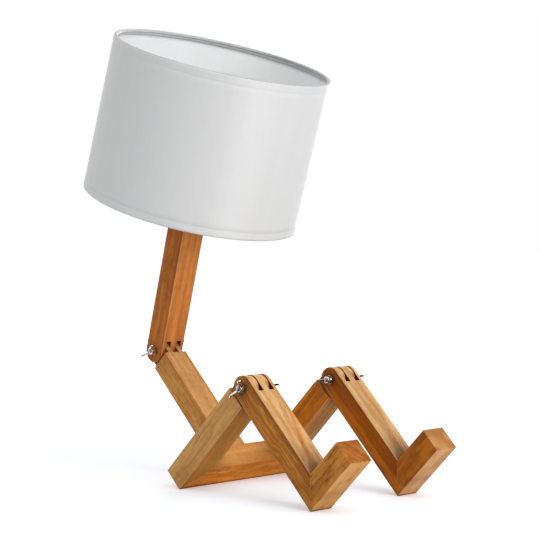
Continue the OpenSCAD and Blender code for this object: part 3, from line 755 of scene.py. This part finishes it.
SHADE_R = 113 * MM
SHADE_H = 160 * MM
COVER_T = 0.9 * MM
HEM_T = 0.3 * MM
HEM_W = 8 * MM
WIRE_D = 3 * MM
GLUE = 0.05 * MM
SHADE_STEPS = 240
COVER_ROWS = 12
SHADE_PLACE = (Matrix.Translation(middle("shade_cover")) @ Matrix.Rotation(SHADE_LEAN, 4, "X")
               @ Matrix.Translation((0, 0, -SHADE_H / 2)))


def out_of_round(angle):
    """Slight out-of-round of a drum held by two wire rings."""
    return 0.12 * MM * math.cos(2 * angle + 0.6) + 0.06 * MM * math.cos(3 * angle)


def hem_profile(inner):
    """Section of the lower hem: a strip outside, a fold round the wire, and a tuck
    inside that ends on the cover's inner face, at the given radius."""
    bead_r = WIRE_D / 2 + COVER_T / 2 + HEM_T
    bead_at = (SHADE_R - bead_r, bead_r)
    tuck = inner - WIRE_D - HEM_T
    strip = [(SHADE_R - HEM_T, HEM_W), (SHADE_R - HEM_T + 0.01 * MM, HEM_W - 0.15 * MM),
             (SHADE_R, bead_r + 0.4 * MM)]
    fold = arc(bead_at, bead_r, 0, -180, 14)
    inside = [(tuck - HEM_T / 2, 1.6 * bead_r), (inner - HEM_T, 2.6 * bead_r),
              (inner - 0.02 * MM, 2.76 * bead_r), (inner, 2.8 * bead_r)]
    core = [(inner - GLUE, 2.5 * bead_r), (tuck + GLUE, 1.5 * bead_r)]
    hollow = arc(bead_at, bead_r - HEM_T, -180, 0, 14)
    return strip + fold + inside + core + hollow


def make_shade(cloth, tape):
    outer = SHADE_R - HEM_T - GLUE
    inner = outer - COVER_T
    low, high = HEM_T + GLUE, SHADE_H - HEM_T - GLUE
    heights = [low + (high - low) * i / COVER_ROWS for i in range(COVER_ROWS + 1)]
    profile = [(outer, z) for z in heights] + [(inner, z) for z in reversed(heights)]
    cover = put("shade_cloth", turned("shade_cloth", profile, SHADE_STEPS, out_of_round), cloth,
                "head", "shade_fabric", "shade_cover", place=SHADE_PLACE)

    lower = turned("shade_hem_lower", hem_profile(inner), SHADE_STEPS, out_of_round)
    upper = lower.copy()
    upper.name = "shade_hem_upper"
    upper.transform(Matrix.Translation((0, 0, SHADE_H)) @ Matrix.Scale(-1, 4, (0, 0, 1)))
    upper.flip_normals()
    put("shade_hem_lower", lower, tape, "head", "shade_fabric", "shade_hems", place=SHADE_PLACE)
    put("shade_hem_upper", upper, tape, "head", "shade_fabric", place=SHADE_PLACE)


# ------------------------------------------------------------- wing nuts and bolts

WASHER_T = 0.8 * MM
HUB_D, HUB_TOP_D, HUB_H = 8.2 * MM, 7.2 * MM, 4.6 * MM
WING_SPAN, WING_H = 22.5 * MM, 10.5 * MM
WING_ROOT_T, WING_TIP_T = 2.6 * MM, 1.8 * MM
WING_TIP_R, WING_ROOT_R = 2.3 * MM, 1.9 * MM
BOLT_R = 2 * MM
BORE_R = 2.15 * MM
THREAD_PITCH = 0.7 * MM
THREAD_DEPTH = 0.36 * MM
THREAD_LEN = 12 * MM
BOLT_SPARE = 1.5 * MM
CAST_VOXEL = 0.25 * MM
HUB_CHAMFER, BORE_CHAMFER, DOME_H = 0.5 * MM, 0.3 * MM, 0.4 * MM
WING_SINK = 1.2 * MM
SHANK_CHAMFER = 0.6 * MM
THREAD_ROWS = 10
SHANK_SIDES = 40
# Radius that stands for a point on the axis
AXIS_R = 1e-6
# Turn of the wings about each pin, in degrees: the nut's and the bolt head's
WING_TURNS = {"left_knee": (83, -56), "right_knee": (-54, -56), "waist": (-81, 63)}


def wing_outline(root, tip):
    """Outline of a wing as (x, z) points: round its tip, then round its root."""
    reach = tip - root
    heading = math.atan2(reach.z, reach.x)
    outline = []
    for centre, radius, sweep_deg, steps in ((tip, WING_TIP_R, 200, 12),
                                             (root, WING_ROOT_R, 160, 6)):
        side = 1 if centre is tip else -1
        for i in range(steps + 1):
            angle = heading + side * math.radians(100) - math.radians(sweep_deg) * i / steps
            outline.append((centre.x + radius * math.cos(angle),
                            centre.z + radius * math.sin(angle)))
    return outline


def add_wing(shape, side):
    """One wing: a tapered paddle that rises out of the hub, thicker at its root."""
    root = Vector((HUB_TOP_D / 2 - WING_SINK, 0, HUB_H / 2))
    tip = Vector((WING_SPAN / 2 - WING_TIP_R, 0, WING_H - WING_TIP_R))
    outline = wing_outline(root, tip)
    layers = []
    for face_side in (-1, 1):
        layer = []
        for x, z in outline:
            share = min(1.0, max(0.0, (x - root.x) / (tip.x - root.x)))
            half = (WING_ROOT_T + (WING_TIP_T - WING_ROOT_T) * share) / 2
            layer.append(shape.verts.new((side * x, face_side * half, z)))
        layers.append(layer)
    shape.faces.new(layers[0])
    shape.faces.new(list(reversed(layers[1])))
    count = len(outline)
    for i in range(count):
        j = (i + 1) % count
        shape.faces.new((layers[0][j], layers[0][i], layers[1][i], layers[1][j]))


def wing_pair(name):
    """Both wings, without their hub."""
    shape = bmesh.new()
    for side in (-1, 1):
        add_wing(shape, side)
    bmesh.ops.recalc_face_normals(shape, faces=shape.faces)
    return finished(shape, name)


def hub_profile(bore_r):
    """Half section of a hub. A bore of no radius gives a closed, domed one."""
    inner_r = bore_r or AXIS_R
    crown = [(HUB_TOP_D / 2, HUB_H - HUB_CHAMFER), (HUB_TOP_D / 2 - HUB_CHAMFER, HUB_H)]
    top = [(AXIS_R, HUB_H + DOME_H)]
    if bore_r:
        top = [(bore_r + BORE_CHAMFER, HUB_H), (bore_r, HUB_H - BORE_CHAMFER)]
    return [(inner_r, 0), (HUB_D / 2, 0)] + crown + top


def cast_wings(name, bore_r):
    """Die-cast hub and wings in one skin, standing on z = 0: a wing nut, or with no
    bore the head of a wing bolt."""
    wings = wing_pair(name)
    joined = bmesh.new()
    joined.from_mesh(turned(name + "_hub", hub_profile(bore_r), 48))
    joined.from_mesh(wings)
    piece = add_object(name, finished(joined, name))
    skin = piece.modifiers.new("skin", "REMESH")
    skin.mode = "VOXEL"
    skin.voxel_size = CAST_VOXEL
    soft = piece.modifiers.new("soft", "SMOOTH")
    soft.factor, soft.iterations = 0.5, 5
    depsgraph = bpy.context.evaluated_depsgraph_get()
    cast = bpy.data.meshes.new_from_object(piece.evaluated_get(depsgraph))
    bpy.data.objects.remove(piece)
    return cast


def thread_depth(z, share, plain_len):
    """Depth of the thread's groove at a height, a share of a turn round the bolt."""
    turns = (z / THREAD_PITCH + share) % 1.0
    run_in = min(1.0, (-z - plain_len) / THREAD_PITCH)
    return THREAD_DEPTH * run_in * (1 - abs(2 * turns - 1))


def threaded_shank(name, length):
    """Bolt shank from z = 0 down to -length, with a cut thread at its far end."""
    plain_len = length - THREAD_LEN
    count = int(THREAD_LEN / THREAD_PITCH * THREAD_ROWS)
    plain = [0.0, -plain_len / 2, -plain_len]
    heights = plain + [-plain_len - THREAD_LEN * (i + 1) / count for i in range(count)]
    shape = bmesh.new()
    rows = []
    for row, z in enumerate(heights):
        ring = []
        for step in range(SHANK_SIDES):
            share = step / SHANK_SIDES
            angle = TURN * step / SHANK_SIDES
            depth = thread_depth(z, share, plain_len) if row >= len(plain) else 0.0
            end = max(0.0, (-z - length + SHANK_CHAMFER))
            radius = BOLT_R - max(depth, end)
            ring.append(shape.verts.new((radius * math.cos(angle), radius * math.sin(angle), z)))
        rows.append(ring)
    for upper, lower in zip(rows, rows[1:]):
        for step in range(SHANK_SIDES):
            after = (step + 1) % SHANK_SIDES
            shape.faces.new((upper[step], lower[step], lower[after], upper[after]))
    shape.faces.new(rows[0])
    shape.faces.new(list(reversed(rows[-1])))
    bmesh.ops.recalc_face_normals(shape, faces=shape.faces)
    return finished(shape, name)


def pin_place(place, tilt, turn_deg, side):
    """Frame of a hub: +Z out of the given side of the joint, wings turned about the pin."""
    return (Matrix.Translation(place) @ Matrix.Rotation(tilt, 4, "X")
            @ Matrix.Rotation(math.radians(turn_deg), 4, "X")
            @ Matrix.Rotation(side * math.pi / 2, 4, "Y")
            @ Matrix.Translation((0, 0, BAR_W / 2 + WASHER_T)))


def make_fasteners(nut_finish, dark_head_finish, bolt_finish):
    head, nut = cast_wings("wing_head", 0.0), cast_wings("wing_nut", BORE_R)
    grip = BAR_W + 2 * WASHER_T
    shank_len = grip + HUB_H + BOLT_SPARE
    for name, (nut_turn, bolt_turn) in WING_TURNS.items():
        bolt, nut_body = name + "_bolt", name + "_nut"
        outside = pin_place(PIN[name], -BASE_TILT, bolt_turn, 1)
        put(name + "_wing_head", head.copy(), dark_head_finish, bolt, "bright_plating", bolt,
            place=outside)
        put(name + "_shank", threaded_shank(name + "_shank", shank_len), bolt_finish,
            bolt, "bright_plating", place=outside)
        put(name + "_wing_nut", nut.copy(), nut_finish, nut_body, "bright_plating", nut_body,
            place=pin_place(PIN[name], -BASE_TILT, nut_turn, -1))


# --------------------------------------------------------------------------- bulb

GLOBE_R, GLASS_T = 30 * MM, 1 * MM
# How far below the globe's middle its glass is cut off
NECK_DROP = 14 * MM


def make_bulb(glass):
    """Opal globe, open at its neck. The upper corner of its box gives its middle."""
    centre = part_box("bulb_globe")[1] - Vector((GLOBE_R, GLOBE_R, GLOBE_R))
    centre.x = 0
    low_deg = -math.degrees(math.asin(NECK_DROP / GLOBE_R))
    skin = arc((0, 0), GLOBE_R, low_deg, 90, 40)
    skin[-1] = (AXIS_R, GLOBE_R)
    lining = arc((0, 0), GLOBE_R - GLASS_T, 90, low_deg, 40)
    lining[0] = (AXIS_R, GLOBE_R - GLASS_T)
    place = Matrix.Translation(centre) @ Matrix.Rotation(SHADE_LEAN, 4, "X")
    put("bulb_glass", turned("bulb_glass", skin + lining, 96), glass, "head", "bulb_globe",
        "bulb_globe", place=place)


# ------------------------------------------------------------------------- stage

SKY_HEIGHTS = (0.1, 0.9)
SKY_FILL = (0.37, 0.80)
ROOM_GLOW = 0.06
FLOOR_SIZE = 14.0
FLOOR_TONE = rgb(235, 240, 247)
FLOOR_CLOUD = rgb(239, 244, 250)
FLOOR_IN_METAL = rgb(16, 16, 17)
FLOOR_GLOW = (0.30, 0.55)
GLOW_REACH = (0.4, 1.6)
BRIGHT_SIDE = direction(math.radians(175), 0)
SWEEP_FRONT = (0.25, -0.15)


def clear_rays(s, path):
    """1 for the camera's rays, straight or through something clear."""
    return s.math("MAXIMUM", path.outputs["Is Camera Ray"], path.outputs["Is Transmission Ray"])


def make_world():
    """White to the camera. Metal sees the white backdrop and the white above it,
    and the darker room behind the camera. The fill is grey, and brighter from above."""
    world = bpy.data.worlds.new("studio")
    bpy.context.scene.world = world
    world.use_nodes = True
    s = Nodes(world.node_tree)
    path = s.node("LightPath")
    towards = s.node("TexCoord").outputs["Generated"]
    facing = s.node("VectorMath", {0: towards, 1: BRIGHT_SIDE},
                    operation="DOT_PRODUCT").outputs["Value"]
    height = s.node("SeparateXYZ", {0: towards}).outputs[2]
    white = s.math("MAXIMUM", s.ramp(facing, 0.15, 0.6), s.ramp(height, 0.5, 0.75))
    mirrored = s.math("ADD", s.math("MULTIPLY", white, 1.0 - ROOM_GLOW), ROOM_GLOW)
    fill = s.ramp(height, *SKY_HEIGHTS, *SKY_FILL)
    strength = s.mix(path.outputs["Is Glossy Ray"], fill, mirrored)
    strength = s.mix(clear_rays(s, path), strength, (1, 1, 1, 1))
    background = s.node("Background", {"Color": strength, "Strength": 1.0})
    output = s.node("OutputWorld")
    s.link(background.outputs[0], output.inputs["Surface"])


def seen_as_white(s):
    """1 for the rays that should see the white surroundings as they are."""
    path = s.node("LightPath")
    return s.math("MAXIMUM", clear_rays(s, path), path.outputs["Is Glossy Ray"])


def floor_shader():
    """Matt white that takes shadows, glows with distance, and is dark in what metal mirrors
    in front of the lamp."""
    s = Shader("floor")
    cloud = s.noise(object_coords(s), (0.8,) * 3).outputs["Fac"]
    ahead = s.node("SeparateXYZ", {0: object_coords(s)}).outputs[1]
    mirrored = s.math("MULTIPLY", s.node("LightPath").outputs["Is Glossy Ray"],
                      s.ramp(ahead, *SWEEP_FRONT))
    s.set(Base_Color=s.mix(mirrored, s.mix(cloud, FLOOR_TONE, FLOOR_CLOUD), FLOOR_IN_METAL),
          Roughness=0.95, Specular_IOR_Level=0.0)
    apart = s.node("VectorMath", {0: object_coords(s)}, operation="LENGTH").outputs["Value"]
    white = s.ramp(apart, *GLOW_REACH, *FLOOR_GLOW)
    strength = s.math("MULTIPLY", white, s.math("SUBTRACT", 1.0, mirrored))
    glow = s.node("Emission", {"Color": (1, 1, 1, 1), "Strength": strength})
    lit = s.node("AddShader", {0: s.bsdf.outputs[0], 1: glow.outputs[0]})
    choice = s.node("MixShader", {0: seen_as_white(s), 1: s.bsdf.outputs[0], 2: lit.outputs[0]})
    s.link(choice.outputs[0], s.output.inputs["Surface"])
    return s.material


def make_floor():
    data = bpy.data.meshes.new("floor")
    half = FLOOR_SIZE / 2
    corners = [(-half, -half, 0), (half, -half, 0), (half, half, 0), (-half, half, 0)]
    data.from_pydata(corners, [], [(0, 1, 2, 3)])
    data.materials.append(floor_shader())
    add_object("floor", data)


# --------------------------------------------------------------------------- all

def dress_hardware():
    zinc = metal("zinc", rgb(168, 170, 172), 0.3, 0.02, recess_shade=0.9)
    brass = metal("brass", rgb(214, 178, 104), 0.28, 0.015)
    black = moulded("phenolic", rgb(26, 26, 28), 0.34)
    porcelain = moulded("porcelain", rgb(236, 233, 224), 0.5, mottle=0.03)
    white_plastic = moulded("bulb_body", rgb(236, 236, 232), 0.42, mottle=0.02)
    beech = dowel_shader()
    for node in ("left_knee_washers", "right_knee_washers", "waist_washers", "threaded_tube",
                 "seat_washer", "lock_nut", "shade_top_ring", "shade_lower_ring", "shade_spider",
                 "bulb_cap"):
        dress(node, zinc)
    for node in ("centre_contact", "screw_shell", "bulb_contact"):
        dress(node, brass)
    for node in ("cord_bushing", "holder_cap", "holder_barrel", "ring_nut"):
        dress(node, black)
    for node in ("corner_dowels", "torso_dowels", "left_heel_dowels", "right_heel_dowels"):
        dress(node, beech)
    dress("holder_core", porcelain)
    dress("bulb_housing", white_plastic)


make_camera()
make_lights()
make_world()
make_floor()
bpy.context.scene.view_settings.view_transform = "Standard"

dress_timber()
dress_hardware()
make_shade(cloth_shader("shade_cloth", CLOTH_WHITE, CLOTH_THREAD, slub=0.012, satin=SHADE_H),
           cloth_shader("hem_tape", CLOTH_WHITE, TAPE_THREAD, slub=0.006, satin=HEM_W,
                        rim=HEM_RIM))
# The bolt heads have the nuts' bright plating, painted dark for the dark room that they mirror.
make_fasteners(metal("bright_casting", rgb(238, 238, 234), 0.1, 0.01, recess_shade=0.97),
               metal("head_casting_painted_dark", rgb(78, 78, 80), 0.16, 0.01, recess_shade=0.97),
               metal("bolt_steel", rgb(188, 188, 189), 0.25, 0.01, recess_shade=0.8))
make_bulb(moulded("opal", rgb(243, 243, 238), 0.3, mottle=0.012))
